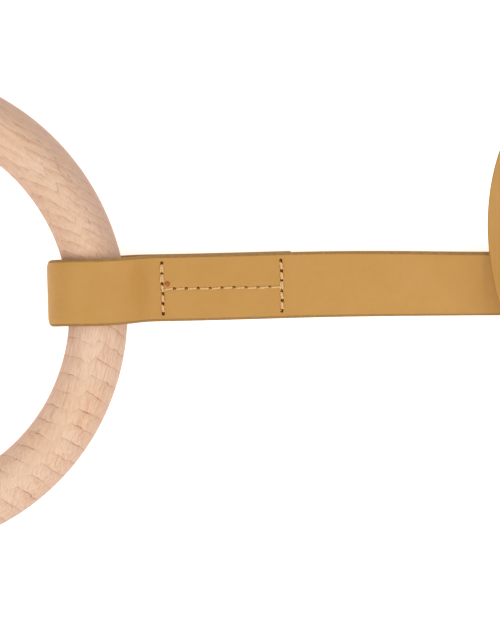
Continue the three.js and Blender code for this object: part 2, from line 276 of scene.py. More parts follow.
# ---- Materials ------------------------------------------------------------------------------------------
class Nodes:
    """Short forms for making a material's nodes."""

    def __init__(self, name):
        self.material = bpy.data.materials.new(name)
        self.material.use_nodes = True
        self.tree = self.material.node_tree
        self.shader = self.tree.nodes["Principled BSDF"]

    def node(self, kind, **settings):
        made = self.tree.nodes.new(kind)
        for key, value in settings.items():
            setattr(made, key, value)
        return made

    def link(self, source, target):
        self.tree.links.new(source, target)

    def feed(self, target, value):
        if isinstance(value, bpy.types.NodeSocket):
            self.link(value, target)
        else:
            target.default_value = value

    def maths(self, operation, *values):
        made = self.node("ShaderNodeMath", operation=operation)
        for socket, value in zip(made.inputs, values):
            self.feed(socket, value)
        return made.outputs[0]

    def place(self, scale=(1, 1, 1), turn=(0, 0, 0), shift=(0, 0, 0)):
        """The object's coordinates in millimetres, turned and then scaled."""
        coords = self.node("ShaderNodeTexCoord").outputs["Object"]
        turned_to = self.node("ShaderNodeMapping", vector_type="POINT")
        self.link(coords, turned_to.inputs["Vector"])
        turned_to.inputs["Scale"].default_value = (1000, 1000, 1000)
        turned_to.inputs["Rotation"].default_value = [math.radians(a) for a in turn]
        scaled = self.node("ShaderNodeMapping", vector_type="POINT")
        self.link(turned_to.outputs[0], scaled.inputs["Vector"])
        scaled.inputs["Scale"].default_value = scale
        scaled.inputs["Location"].default_value = shift
        return scaled.outputs[0]

    def noise(self, vector, scale=1.0, detail=2.0, roughness=0.5, distortion=0.0):
        made = self.node("ShaderNodeTexNoise")
        self.link(vector, made.inputs["Vector"])
        made.inputs["Scale"].default_value = scale
        made.inputs["Detail"].default_value = detail
        made.inputs["Roughness"].default_value = roughness
        made.inputs["Distortion"].default_value = distortion
        return made.outputs[0]

    def ramp(self, value, *stops, mode="LINEAR"):
        made = self.node("ShaderNodeValToRGB")
        made.color_ramp.interpolation = mode
        elements = made.color_ramp.elements
        while len(elements) < len(stops):
            elements.new(0.5)
        for element, (position, colour) in zip(elements, stops):
            element.position = position
            element.color = (*colour, 1) if isinstance(colour, tuple) else (colour, colour, colour, 1)
        self.link(value, made.inputs[0])
        return made.outputs[0]

    def blend(self, factor, a, b, mode="MIX"):
        made = self.node("ShaderNodeMix", data_type="RGBA", blend_type=mode)
        self.feed(made.inputs["Factor"], factor)
        for socket, value in ((made.inputs[6], a), (made.inputs[7], b)):
            self.feed(socket, (*value, 1) if isinstance(value, tuple) else value)
        return made.outputs[2]

    def tint(self, colour, mask, amount, tone):
        """Lays a tone over the colour where the mask is, by the given amount at most."""
        return self.blend(self.maths("MULTIPLY", mask, amount), colour, tone)

    def bump(self, height, distance, strength=1.0, onto=None):
        made = self.node("ShaderNodeBump")
        self.link(height, made.inputs["Height"])
        made.inputs["Distance"].default_value = distance * MM
        made.inputs["Strength"].default_value = strength
        if onto is not None:
            self.link(onto, made.inputs["Normal"])
        return made.outputs[0]

    def finish(self, colour, roughness, normal=None, **constants):
        for socket, value in (("Base Color", colour), ("Roughness", roughness)):
            self.feed(self.shader.inputs[socket], value)
        if normal is not None:
            self.link(normal, self.shader.inputs["Normal"])
        for name, value in constants.items():
            self.shader.inputs[name.replace("_", " ")].default_value = value
        return self.material


def srgb(*values):
    """A colour given as 0 to 255, in linear light."""
    return tuple(v / 255 / 12.92 if v <= 10 else ((v / 255 + 0.055) / 1.055) ** 2.4 for v in values)


GRAIN_TURN = 28                  # the growth layers run this many degrees down to the right in plan
LAYER = 8.2                      # from one growth line to the next, in millimetres


def growth_lines(n, outer, flank, half):
    """A mask of the growth layers: flat sheets through the plank, stepped where the crest cuts them."""
    split = n.node("ShaderNodeSeparateXYZ")
    n.link(n.place(turn=(0, 0, GRAIN_TURN)), split.inputs[0])
    bend = n.maths("MULTIPLY", n.noise(n.place(), 0.02, 2), 7.0)
    grain = n.place(scale=(0.12, 0.32, 0.32), turn=(0, 0, GRAIN_TURN))
    ripple = n.maths("MULTIPLY", n.noise(grain, 1.0, 3, 0.6), 3.4)
    height = n.maths("ADD", split.outputs["Y"], n.maths("ADD", bend, ripple))
    height = n.maths("SUBTRACT", height, n.maths("MULTIPLY", split.outputs["Z"], 0.3))
    height = n.maths("SUBTRACT", height, n.maths("MULTIPLY", outer, LAYER / 2))
    share = n.maths("FRACT", n.maths("DIVIDE", height, LAYER))
    late = n.ramp(share, (0.0, 0.0), (0.45, 0.0), (0.85, 0.14), (0.93, 0.24), (0.965, 1.0), (1.0, 0.0))
    half_share = n.maths("FRACT", n.maths("DIVIDE", height, LAYER * 0.53))
    fine = n.ramp(half_share, (0.0, 0.0), (0.6, 0.1), (0.9, 0.4), (0.95, 1.0), (1.0, 0.0))
    patch = n.ramp(n.noise(n.place(), 0.11, 2), (0.36, 0.3), (0.6, 1.0))
    # Painted highlight: the lines fade towards the crest and are full strength on the flanks.
    clear = n.maths("MULTIPLY_ADD", flank, 0.8, 0.2)
    low_line = n.maths("MULTIPLY", n.maths("MULTIPLY", late, clear), n.maths("SUBTRACT", 1.0, half))
    high_line = n.maths("MULTIPLY", n.maths("MULTIPLY", fine, 0.6), half)
    return n.maths("MULTIPLY", n.maths("ADD", low_line, high_line), patch)


def fibres(n, half):
    """A mask of fine streaks, across the layers low on the ring and along them high on it."""
    across = n.noise(n.place(scale=(1.1, 0.11, 1.1), turn=(0, 0, 14)), 1.0, 3, 0.65)
    along = n.noise(n.place(scale=(0.09, 1.0, 1.0), turn=(0, 0, GRAIN_TURN + 6)), 1.0, 3, 0.65)
    return n.ramp(n.blend(n.maths("MULTIPLY", half, 0.75), across, along), (0.46, 0.0), (0.72, 1.0))


def short_cracks(n, surface, side, half):
    """A mask of short dark cracks along the outer side."""
    around = n.node("ShaderNodeMapping")
    n.link(surface, around.inputs["Vector"])
    around.inputs["Scale"].default_value = (75, 80, 1)
    around.inputs["Rotation"].default_value = (0, 0, math.radians(9))
    crack = n.ramp(n.noise(around.outputs[0], 1.0, 4, 0.65), (0.61, 0.0), (0.66, 1.0))
    zone = n.ramp(n.maths("ABSOLUTE", n.maths("SUBTRACT", side, 0.5)), (0.1, 1.0), (0.4, 0.0))
    return n.maths("MULTIPLY", n.maths("MULTIPLY", crack, zone), n.maths("MULTIPLY_ADD", half, 0.55, 0.12))


def beech():
    n = Nodes("beech")
    surface = n.node("ShaderNodeUVMap", uv_map="surface").outputs[0]
    uv = n.node("ShaderNodeSeparateXYZ")
    n.link(surface, uv.inputs[0])
    # side is 1 on the outer rim, 0 on the crest and -1 on the inner rim. half is 1 over the ring's +Y half,
    # which is high in the view, and 0 over its -Y half.
    side = n.maths("COSINE", n.maths("MULTIPLY", uv.outputs["Y"], 2 * math.pi))
    outer = n.ramp(side, (0.02, 0.0), (0.18, 1.0))
    flank = n.ramp(n.maths("ABSOLUTE", n.maths("ADD", side, 0.05)), (0.05, 0.0), (0.5, 1.0))
    half = n.ramp(n.maths("SINE", n.maths("MULTIPLY", uv.outputs["X"], 2 * math.pi)), (0.0, 0.0), (0.2, 1.0))
    line = growth_lines(n, outer, flank, half)
    broad = n.ramp(n.noise(n.place(), 0.045, 3), (0.35, 0.0), (0.65, 1.0))
    colour = n.blend(broad, srgb(246, 213, 185), srgb(243, 205, 172))
    colour = n.blend(line, colour, srgb(152, 88, 56))
    streak = fibres(n, half)
    # Painted highlight: the streaks also fade towards the crest.
    colour = n.tint(colour, streak, n.maths("MULTIPLY_ADD", flank, 0.4, 0.3), srgb(208, 146, 112))
    silk = n.noise(n.place(scale=(2.2, 0.35, 2.2), turn=(0, 0, 14)), 1.0, 3, 0.7)
    colour = n.tint(colour, n.ramp(silk, (0.4, 0.0), (0.66, 1.0)), 0.4, srgb(216, 170, 140))
    colour = n.blend(short_cracks(n, surface, side, half), colour, srgb(132, 88, 60))

    # Painted shade: the rims are darkened towards pinkish grey, most of all on the outer side high on the
    # ring.
    colour = n.tint(colour, n.maths("POWER", n.maths("ABSOLUTE", side), 3.0), 0.46, srgb(184, 148, 130))
    shade = n.maths("MULTIPLY", n.ramp(side, (0.25, 0.0), (1.0, 1.0)), half)
    colour = n.tint(colour, shade, 0.45, srgb(172, 138, 120))
    relief = n.maths("SUBTRACT", n.maths("MULTIPLY", silk, 0.6), n.maths("ADD", line, streak))
    return n.finish(colour, n.ramp(silk, (0.3, 0.52), (0.7, 0.68)), n.bump(relief, 0.12, 0.5),
                    Specular_IOR_Level=0.3)


def faux_leather():
    n = Nodes("faux_leather")
    cloud = n.noise(n.place(), 0.045, 3, 0.6)
    colour = n.blend(n.ramp(cloud, (0.3, 0.0), (0.7, 1.0)), srgb(201, 149, 75), srgb(206, 155, 84))
    mottle = n.noise(n.place(), 0.4, 4, 0.7)
    colour = n.tint(colour, n.ramp(mottle, (0.4, 0.0), (0.75, 1.0)), 0.16, srgb(190, 139, 72))
    pores = n.node("ShaderNodeTexVoronoi", feature="DISTANCE_TO_EDGE")
    n.link(n.place(), pores.inputs["Vector"])
    pores.inputs["Scale"].default_value = 1.9
    creases = n.ramp(pores.outputs["Distance"], (0.0, 0.0), (0.09, 1.0))
    fine = n.noise(n.place(), 5.0, 3, 0.6)
    relief = n.bump(creases, 0.05, 0.35, onto=n.bump(fine, 0.05, 0.4))
    return n.finish(colour, n.ramp(mottle, (0.3, 0.52), (0.7, 0.64)), relief, Specular_IOR_Level=0.32)


def cut_edge():
    n = Nodes("cut_edge")
    fibre = n.noise(n.place(scale=(0.6, 0.6, 4.0)), 1.0, 4, 0.7)
    colour = n.blend(n.ramp(fibre, (0.3, 0.0), (0.7, 1.0)), srgb(150, 110, 60), srgb(178, 138, 82))
    return n.finish(colour, 0.72, n.bump(fibre, 0.12, 0.6), Specular_IOR_Level=0.25)


def waxed_thread():
    n = Nodes("waxed_thread")
    fluff = n.noise(n.place(), 3.0, 3, 0.6)
    colour = n.blend(n.ramp(fluff, (0.3, 0.0), (0.7, 1.0)), srgb(224, 174, 106), srgb(254, 222, 162))
    return n.finish(colour, 0.55, n.bump(fluff, 0.05, 0.5), Sheen_Weight=0.2)


# Painted shade: a near-black brown for the shadow inside the needle holes.
def painted_hole_shade():
    n = Nodes("painted_hole_shade")
    depth = n.noise(n.place(), 2.0, 2)
    colour = n.blend(depth, srgb(66, 20, 3), srgb(104, 44, 12))
    return n.finish(colour, 0.9, n.bump(depth, 0.08, 0.5), Specular_IOR_Level=0.1)


def melted_end():
    n = Nodes("melted_end")
    cloud = n.noise(n.place(), 1.2, 3)
    colour = n.blend(n.ramp(cloud, (0.35, 0.0), (0.65, 1.0)), srgb(158, 82, 26), srgb(190, 110, 48))
    return n.finish(colour, 0.4, n.bump(cloud, 0.1, 0.5))


def satin_steel(name, bright):
    n = Nodes(name)
    brush = n.noise(n.place(scale=(0.5, 4.0, 4.0)), 1.0, 4, 0.6)
    cloud = n.noise(n.place(), 0.3, 3)
    low = tuple(v * 0.82 for v in bright)
    colour = n.blend(n.ramp(cloud, (0.3, 0.0), (0.7, 1.0)), low, bright)
    return n.finish(colour, n.ramp(brush, (0.3, 0.24), (0.7, 0.4)), n.bump(brush, 0.03, 0.5), Metallic=1.0)


def white_floor():
    n = Nodes("white_floor")
    n.shader.inputs["Emission Color"].default_value = (1, 1, 1, 1)
    n.shader.inputs["Emission Strength"].default_value = FLOOR_GLOW
    return n.finish((0.9, 0.9, 0.9, 1), 1.0, Specular_IOR_Level=0.0)


# ---- Camera and light -------------------------------------------------------------------------------------
# The camera looks almost straight down on the first ring's sewn loop, from a little way along the strap and
# to its +Y side.
CAMERA_PLACE = Vector((260.0, 95.6, 1300.0))
CAMERA_TURN = (-5.05, 3.59, -1.28)
FOCAL_SHARE = 4.186              # focal length over the height of the picture
SENSOR_HEIGHT = 24.0
FLOOR_GLOW = 0.6
WORLD_LIGHT = 0.6
LAMPS = (
    ("near_ring", (-550, -680, 1420), 1.2, 8.8),
    ("beyond_coil", (1000, -100, 800), 0.6, 3.0),
)


def make_camera(unit):
    data = bpy.data.cameras.new("camera")
    data.sensor_fit = "VERTICAL"
    data.sensor_height = SENSOR_HEIGHT
    data.lens = SENSOR_HEIGHT * FOCAL_SHARE
    data.clip_end = 20
    camera = bpy.data.objects.new("camera", data)
    camera.location = unit.world(CAMERA_PLACE)
    camera.rotation_euler = Euler([math.radians(a) for a in CAMERA_TURN])
    bpy.context.scene.collection.objects.link(camera)
    bpy.context.scene.camera = camera


def make_lights(unit):
    world = bpy.data.worlds.new("studio")
    world.use_nodes = True
    world.node_tree.nodes["Background"].inputs[0].default_value = (1, 1, 1, 1)
    world.node_tree.nodes["Background"].inputs[1].default_value = WORLD_LIGHT
    bpy.context.scene.world = world
    for name, place, size, power in LAMPS:
        data = bpy.data.lights.new(name, "AREA")
        data.shape = "DISK"
        data.size = size
        data.energy = power
        lamp = bpy.data.objects.new(name, data)
        lamp.location = unit.world(Vector(place))
        aim = unit.world(Vector((150, 0, 0))) - lamp.location
        lamp.rotation_euler = aim.to_track_quat("-Z", "Y").to_euler()
        bpy.context.scene.collection.objects.link(lamp)
    bpy.context.scene.view_settings.view_transform = "Standard"


def make_floor(material):
    shape = Shape()
    sides = (-FLOOR_HALF, FLOOR_HALF)
    shape.points = [Vector((x, y, -FLOOR_DROP)) for y in sides for x in sides]
    shape.marks = [(0, 0)] * 4
    shape.add((0, 1, 3, 2), 0)
    floor = shape.build("floor", lambda p: p * MM, [material])


# ---- The ring ---------------------------------------------------------------------------------------------
def make_ring(unit, material):
    """The section wanders a little, as on a turned and sanded ring, and is thicker on the -Y side."""
    around, section = 288, 56
    tilt = Euler((0, -math.asin(unit.ring_rise / (2 * unit.ring_radius)), 0)).to_matrix()
    rows, marks = [], []
    for i in range(around):
        turn = 2 * math.pi * i / around
        out = Vector((math.cos(turn), math.sin(turn), 0))
        row = []
        for k in range(section):
            angle = 2 * math.pi * k / section
            spot = out * (unit.ring_radius + TUBE * math.cos(angle)) + UP * TUBE * math.sin(angle)
            wander = TUBE_WANDER * noise.noise(spot * 0.045 + Vector((unit.number * 7.0, 0, 0)))
            size = TUBE + TUBE_EXTRA - TUBE_BIAS * out.y + wander
            row.append(unit.ring_centre + tilt @ (out * (unit.ring_radius + size * math.cos(angle))
                                                  + UP * size * math.sin(angle)))
            marks.append((i / around, k / section))
        rows.append(row)
    shape = Shape()
    shape.loft(rows, closed=True, marks=marks)
    piece = shape.build(unit.name("beech_ring"), unit.world, [material])
    attach(piece, unit.name("ring"), "wood", unit.name("ring"))


# ---- The strap --------------------------------------------------------------------------------------------
class Station:
    """A place on the strap's middle line, how far the strap has rolled up there, the place along the sewn
    part, and how far the two edges curl inwards."""

    def __init__(self, point, roll=None, sewn=None, curl=0.0):
        self.point = point
        self.roll = roll
        self.sewn = sewn
        self.curl = curl


def sewn_lines(unit):
    """X of the two lines of thread across the strap at the ring."""
    first = unit.ring_radius + TUBE + SEWN_GAP
    return first, first + SEWN_LENGTH


def layer_height(unit, x):
    """Height of the upper layer's middle, as it comes down from the first line of thread to the floor."""
    first, _ = sewn_lines(unit)
    return mix(SEWN_TOP, STRAP_THICK / 2, smooth((x - first) / LANDING))


def spread(start, end, dense, step=2.0, near=2.4, fine=0.4):
    """Numbers from start to end, closer together near each of the dense ones."""
    sign = 1 if end > start else -1
    values = [start]
    while (end - values[-1]) * sign > 1e-6:
        close = any(abs(values[-1] - d) < near + step for d in dense)
        jump = fine if any(abs(values[-1] - d) < near for d in dense) else (1.0 if close else step)
        ahead = values[-1] + sign * jump
        values.append(ahead if (end - ahead) * sign > 1e-6 else end)
    return values


def rolled(place, lift, angle):
    """A station whose lower edge is at the height lift, with the strap rolled up on it by the angle."""
    height = lift + STRAP_WIDE / 2 * math.sin(angle) + STRAP_THICK / 2 * math.cos(angle)
    return Station(Vector((place.x, place.y, height)), angle)


def sway(x, start):
    """How far the straight part has drifted aside at x."""
    return -SWAY * smooth((x - start) / (TURN_START - start))


def ring_loop(unit):
    """The cut end, the lower layer, round the ring and back over it as far as the first line of thread."""
    first, second = sewn_lines(unit)
    drop = STRAP_THICK + GAP * 0.5
    start = first - 3
    bore = (unit.loop_top - 2 * STRAP_THICK) / 2
    middle = STRAP_THICK + bore
    line = bore + STRAP_THICK / 2
    radius = unit.ring_radius
    low = layer_height(unit, start) - drop
    stations = [
        Station(Vector((x, 0.3, layer_height(unit, x) - drop)), sewn=x - first)
        for x in spread(second + SEWN_END, start, (first, second))
    ]
    bottom = Vector((radius, 0, middle - line))
    top = Vector((radius, 0, middle + line))
    under = Vector((start, 0, low))
    turn = bezier(under, under - Vector((10, 0, 0)), bottom + Vector((15, 0, 0)), bottom, 18)
    centre = Vector((radius - LOOP_SLACK, 0, middle))
    steps = 36
    for i in range(steps + 1):
        angle = math.pi * i / steps
        turn.append(centre - Vector((math.sin(angle), 0, math.cos(angle))) * line)
    high = Vector((start, 0, layer_height(unit, start)))
    turn += bezier(top, top + Vector((15, 0, 0)), high - Vector((10, 0, 0)), high, 18)
    for i, place in enumerate(turn[1:-1]):
        share = i / (len(turn) - 3)
        skew = mix(0.3, 0, share) - LOOP_SKEW * math.sin(math.pi * min(share * 1.35, 1.0)) ** 2
        fold = smooth((radius - 4 - place.x) / 10)
        stations.append(Station(place + SIDEWAYS * skew, curl=FOLD_CURL * fold))
    return stations


def run_to_coil(unit):
    """The upper layer of the sewn part, then the straight, which rolls up and bends away under the coil."""
    first, second = sewn_lines(unit)
    stations = []
    for x in spread(first - 3, TURN_START - 4, (first, second)):
        roll = ENTRY_ROLL * smooth((x - ROLL_START) / (ROLL_END - ROLL_START))
        lift = layer_height(unit, x) - STRAP_THICK / 2
        station = rolled(Vector((x, sway(x, second), 0)), lift, roll)
        station.sewn = x - first
        stations.append(station)
    radius = coil_radius(unit, 0)
    end = Vector((unit.coil.x, unit.coil.y - radius, 0))
    start = Vector((TURN_START, -SWAY, 0))
    steps = 28
    curve = bezier(start, start + Vector((26, 0, 0)), end - Vector((30, 0, 0)), end, steps)
    for i, place in enumerate(curve[:-1]):
        share = smooth(i / steps)
        stations.append(rolled(place, share * coil_lift(unit, end), mix(ENTRY_ROLL, COIL_SLOPE, share)))
    return stations


def coil_radius(unit, turns):
    """The middle line's radius after that many turns, from the inner end to the outer one."""
    lean = STRAP_WIDE / 2 * math.cos(COIL_SLOPE) + STRAP_THICK / 2 * math.sin(COIL_SLOPE)
    largest = unit.coil_outer - lean + COIL_OVER
    return largest - COIL_GROWTH * (COIL_TURNS - turns)


def coil_lift(unit, place):
    """Height of the coil's lower edge: it slopes from the strap that it rests on down to the floor."""
    across = (place.x - unit.coil.x) / (2 * unit.coil_outer)
    return unit.coil_lift * (0.5 - across)


def coil(unit):
    """Loose turns that stand on their lower edge and lean inwards."""
    stations = []
    steps = 110 * COIL_TURNS
    for i in range(steps + 1):
        turns = COIL_TURNS * i / steps
        angle = -math.pi / 2 + 2 * math.pi * turns
        radius = coil_radius(unit, turns)
        faded = smooth(4 * turns) * smooth(4 * (COIL_TURNS - turns))
        wobble = COIL_WOBBLE * math.sin(COIL_LOBES * angle + LOBE_PHASE) * faded
        place = unit.coil + Vector((math.cos(angle), math.sin(angle), 0)) * (radius + wobble)
        stations.append(rolled(place, coil_lift(unit, place), COIL_SLOPE))
    return stations


def tail_lines(unit):
    """X of the two lines of thread across the strap at the hook."""
    second = unit.hook.x - HOOK_SEAM
    return second - SEWN_LENGTH, second


def tail(unit):
    """From the coil's outer end down to lie flat, round the eye's bar and back to the cut end."""
    first, second = tail_lines(unit)
    line = EYE_BORE + STRAP_THICK / 2
    low = unit.hook.z - line
    y = unit.hook.y
    stations = []
    start_lift = coil_lift(unit, unit.coil)
    start_y = unit.coil.y - coil_radius(unit, COIL_TURNS)
    steps = 32
    for i in range(1, steps + 1):
        share = smooth(i / steps)
        place = Vector((mix(unit.coil.x, FLAT_START, i / steps), mix(start_y, y, share), 0))
        lift = mix(start_lift, low - STRAP_THICK / 2, share)
        stations.append(rolled(place, lift, mix(COIL_SLOPE, 0, share)))
    for x in spread(FLAT_START + 2, unit.hook.x, (first, second)):
        stations.append(Station(Vector((x, y, low)), sewn=x - first))
    steps = 20
    for i in range(1, steps):
        angle = math.pi * i / steps
        place = unit.hook + Vector((math.sin(angle), 0, -math.cos(angle))) * line
        stations.append(Station(place))
    over = low + STRAP_THICK + GAP * 0.5
    start = Vector((unit.hook.x, y, unit.hook.z + line))
    end = Vector((second + 2, y, over))
    back = bezier(start, start - Vector((7, 0, 0)), end + Vector((8, 0, 0)), end, 14)
    stations += [Station(place) for place in back]
    for x in spread(second + 1, first - SEWN_END, (first, second)):
        stations.append(Station(Vector((x, y, over)), sewn=x - first))
    return stations


# Distances of the face's points from the middle, closer where the thread and the curled edges need them.
COLUMNS = [0, 0.5, 1.0, 1.6, 2.4, 3.6, 5.2, 7.0, 9.0, 10.4, 11.2, 12.0, 12.8, 13.6, 14.2]


def strap_section():
    """Points (across, out) round the strap's section, and a 1 for each stretch that is cut edge, else 0."""
    half, thin = STRAP_WIDE / 2, STRAP_THICK / 2
    face = [-c for c in reversed(COLUMNS[1:])] + COLUMNS
    points = [(c, thin) for c in face]
    corners = 6
    angles = [math.pi / 2 * k / corners for k in range(corners + 1)]
    side, level = half - EDGE_ROUND, thin - EDGE_ROUND
    points += [(side + EDGE_ROUND * math.sin(a), level + EDGE_ROUND * math.cos(a)) for a in angles]
    points += [(side + EDGE_ROUND * math.cos(a), -level - EDGE_ROUND * math.sin(a)) for a in angles]
    points += [(-c, -t) for c, t in points]
    limit = side - 0.01
    kinds = []
    for i, (c, _) in enumerate(points):
        following = points[(i + 1) % len(points)][0]
        kinds.append(1 if min(abs(c), abs(following)) > limit else 0)
    return points, kinds


def groove(sewn, across):
    """How far the thread has pulled the surface in, at a place along and across the sewn part."""
    if sewn is None or sewn < -4 or sewn > SEWN_LENGTH + 4:
        return 0.0
    half = STRAP_WIDE / 2 - THREAD_INSET
    lines = [abs(sewn), abs(sewn - SEWN_LENGTH)]
    near = min(lines) if abs(across) < half + 1.5 else 9.0
    if 0 < sewn < SEWN_LENGTH:
        near = min(near, abs(across))
    return GROOVE_DEPTH * math.exp(-(near / GROOVE_WIDE) ** 2)


def make_strap(unit, materials):
    """One strap from its cut end under the ring to its cut end over the hook's loop."""
    stations = ring_loop(unit) + run_to_coil(unit) + coil(unit) + tail(unit)
    along = tangents([s.point for s in stations])
    section, kinds = strap_section()
    rows, marks = [], []
    run = 0.0
    previous = stations[0].point
    for station, tangent in zip(stations, along):
        run += (station.point - previous).length
        previous = station.point
        across = SIDEWAYS
        if station.roll is not None:
            left = Vector((-tangent.y, tangent.x, 0)).normalized()
            across = left * math.cos(station.roll) + UP * math.sin(station.roll)
        normal = tangent.cross(across).normalized()
        across = normal.cross(tangent).normalized()
        row = []
        for side, out in section:
            pulled = groove(station.sewn, side) if abs(side) < STRAP_WIDE / 2 - EDGE_ROUND else 0.0
            curled = station.curl * max(abs(side) - CURL_START, 0) ** 2 / (STRAP_WIDE / 2 - CURL_START) ** 2
            depth = out - math.copysign(pulled, out) - curled
            row.append(station.point + across * side + normal * depth)
            marks.append((run * MM, side * MM))
        rows.append(row)
    shape = Shape()
    shape.loft(rows, kinds=kinds, marks=marks)
    piece = shape.build(unit.name("strap"), unit.world, materials, flat_angle=50)
    nodes = [unit.name(f"strap_{part}") for part in ("loop", "run", "coil", "tail")]
    attach(piece, unit.name("strap"), "leather", *nodes)
    return run


# ---- The thread -------------------------------------------------------------------------------------------
def stitch(shape, start, end, out, size, turns):
    """Two plies twisted round each other, from one needle hole up over the strap and into the next."""
    steps = 26
    along = (end - start).normalized()
    side = along.cross(out).normalized()
    for ply in range(2):
        centres, radii = [], []
        for i in range(steps + 1):
            t = i / steps
            swell = math.sin(math.pi * t) ** 0.4
            rise = size * (2.0 * swell - 1.1)
            twist = 2 * math.pi * turns * (t - 0.5) + math.pi * (ply + 0.25)
            spread_out = size * (0.35 + 0.3 * swell)
            middle = start.lerp(end, t) + out * rise
            centres.append(middle + (side * math.cos(twist) + out * math.sin(twist)) * spread_out)
            radii.append(size * (0.5 + 0.2 * swell))
        wire(shape, centres, radii, sides=8, up=out)


def hole_shade_disc(shape, place, out, along, radius, stretch):
    """A dark disc of painted shade over the mouth of a needle hole, pulled longer along the line by the
    thread.
    """
    along = (along - out * along.dot(out)).normalized()
    other = out.cross(along)
    sides = 16
    rows = []
    for share, rise in ((0.05, -0.10), (0.6, 0.0), (0.95, 0.06), (1.1, -0.12)):
        angles = (2 * math.pi * k / sides for k in range(sides))
        spokes = [along * math.cos(a) * stretch + other * math.sin(a) for a in angles]
        rows.append([place + out * rise + spoke * radius * share for spoke in spokes])
    shape.loft(rows)


def stitched_h(shape, hole_shade_discs, surface, lines, rng, doubled):
    """The H seam on one face. surface(x, y) gives a point and the way out of the strap there."""
    first, second = lines
    half = STRAP_WIDE / 2 - THREAD_INSET
    rows_across = 5
    rows_along = 10

    def run(points, size, slant, turns, stretch, twice=()):
        for i, (a, b) in enumerate(zip(points, points[1:])):
            (start, out), (end, _) = surface(*a), surface(*b)
            aside = out.cross(end - start).normalized()
            inset = (end - start).normalized() * max(size * 1.3, 0.62)
            lean = aside * slant * (0.6 + 0.8 * rng.random())
            if i in twice:
                for way in (-1, 1):
                    apart = aside * size * 0.95 * way
                    near, far = start + inset * 0.6 + apart * 0.5, end - inset * 0.6 + apart
                    stitch(shape, near, far, out, size * 0.72, turns * 1.6)
            else:
                stitch(shape, start + inset - lean, end - inset + lean, out, size, turns)
        # A disc of painted shade at each needle hole.
        for i, (x, y) in enumerate(points):
            spot, out = surface(x, y)
            near = points[i + 1] if i + 1 < len(points) else points[i - 1]
            along = surface(*near)[0] - spot
            hole_shade_disc(hole_shade_discs, spot, out, along, HOLE_RADIUS + 0.1 * rng.random(), stretch)

    def jitter(size):
        return size * (rng.random() - 0.5)

    for line, twice in zip(lines, doubled):
        across = [(line + jitter(0.5), mix(half, -half, i / rows_across)) for i in range(rows_across + 1)]
        run(across, CROSS_THREAD, 0.22, 0.9, 1.45, twice)
    shares = [i / rows_along for i in range(rows_along + 1)]
    along = [(mix(first, second, t), mix(-0.2, -0.8, t) + jitter(0.4)) for t in shares]
    run(along, MIDDLE_THREAD, 0.16, 1.3, 1.05)


def make_thread(unit, materials):
    thread, dark, melted = materials
    rng = random.Random(40 + unit.number)
    first, second = sewn_lines(unit)
    low = unit.hook.z - EYE_BORE - STRAP_THICK / 2
    sunk = STRAP_THICK / 2 - THREAD_SUNK
    below = STRAP_THICK + GAP * 0.5

    def ring_face(side, drop):
        def surface(x, y):
            slope = (layer_height(unit, x + 1) - layer_height(unit, x - 1)) / 2
            out = Vector((-slope, 0, 1)).normalized() * side
            return Vector((x, y, layer_height(unit, x) - drop)) + out * sunk, out
        return surface

    def hook_face(side, rise):
        return lambda x, y: (Vector((x, unit.hook.y + y, low + rise + side * sunk)), UP * side)

    seams = (
        ("ring_thread_top", ring_face(1, 0), (first, second), ((0, 1), (2,))),
        ("ring_thread_under", ring_face(-1, below), (first, second), ((1,), (2,))),
        ("hook_thread_top", hook_face(1, below), tail_lines(unit), ((0,), (2, 3))),
        ("hook_thread_under", hook_face(-1, 0), tail_lines(unit), ((1,), (3,))),
    )
    for node, surface, lines, doubled in seams:
        # Each seam gets its stitches and discs of painted shade at its needle holes.
        stitches, hole_shade_discs = Shape(), Shape()
        stitched_h(stitches, hole_shade_discs, surface, lines, rng, doubled)
        sewn = stitches.build(unit.name(node.replace("thread", "stitches")), unit.world, [thread])
        hole_shade_piece = hole_shade_discs.build(unit.name(node.replace("thread", "needle_holes")), unit.world, [dark])
        attach(sewn, unit.name("strap"), "thread", unit.name(node))
        attach(hole_shade_piece, unit.name("strap"), "thread")

    # The end of the thread, melted into a flat bead beside the first line.
    bead = Shape()
    spot, out = ring_face(1, 0)(first + 2.4, 2.2)
    profile = [(-0.1, 1.2), (0.15, 1.25), (0.38, 0.95), (0.5, 0.5), (0.53, 0.05)]
    turned(bead, profile, spot + out * 0.2, out, 20)
    for i, point in enumerate(bead.points):
        bead.points[i] = point + Vector((0.3, 0.22, 0)) * noise.noise(point * 1.1)
    piece = bead.build(unit.name("melted_thread_end"), unit.world, [melted])
    attach(piece, unit.name("strap"), "thread")


# ---- The hook ---------------------------------------------------------------------------------------------
# Places are from the middle of the eye's bar, with X along the hook.
EYE_LENGTH = 13.0                # from the middle of the eye's bar to that of its far side
EYE_CORNER = 3.0
EYE_ROOM = 0.8                   # from the strap's side to the eye's wire
HUB_START = 10.0
HUB_END = 16.0
HUB_RADIUS = 5.5
HUB_BEVEL = 0.7
STEM_RADIUS = 2.2
STEM_ROOM = 0.3                  # between the stem and the hub's bore
COLLAR = 16.3                    # where the hook's collar begins, next to the hub
BOW_RADIUS = 9.0
BOW_X = 50.0
PIVOT = Vector((28.0, 7.5, 0.0))
GATE_TIP = 44.4
GATE_WIDE = 2.35                 # half of the gate's width
EAR_GAP = 2.5                    # from the middle to each ear's inner face
EAR_THICK = 1.5
EAR_RADIUS = 3.0
SPRING_RADIUS = 2.15
SPRING_WIRE = 0.22
RIGHT = Vector((1, 0, 0))


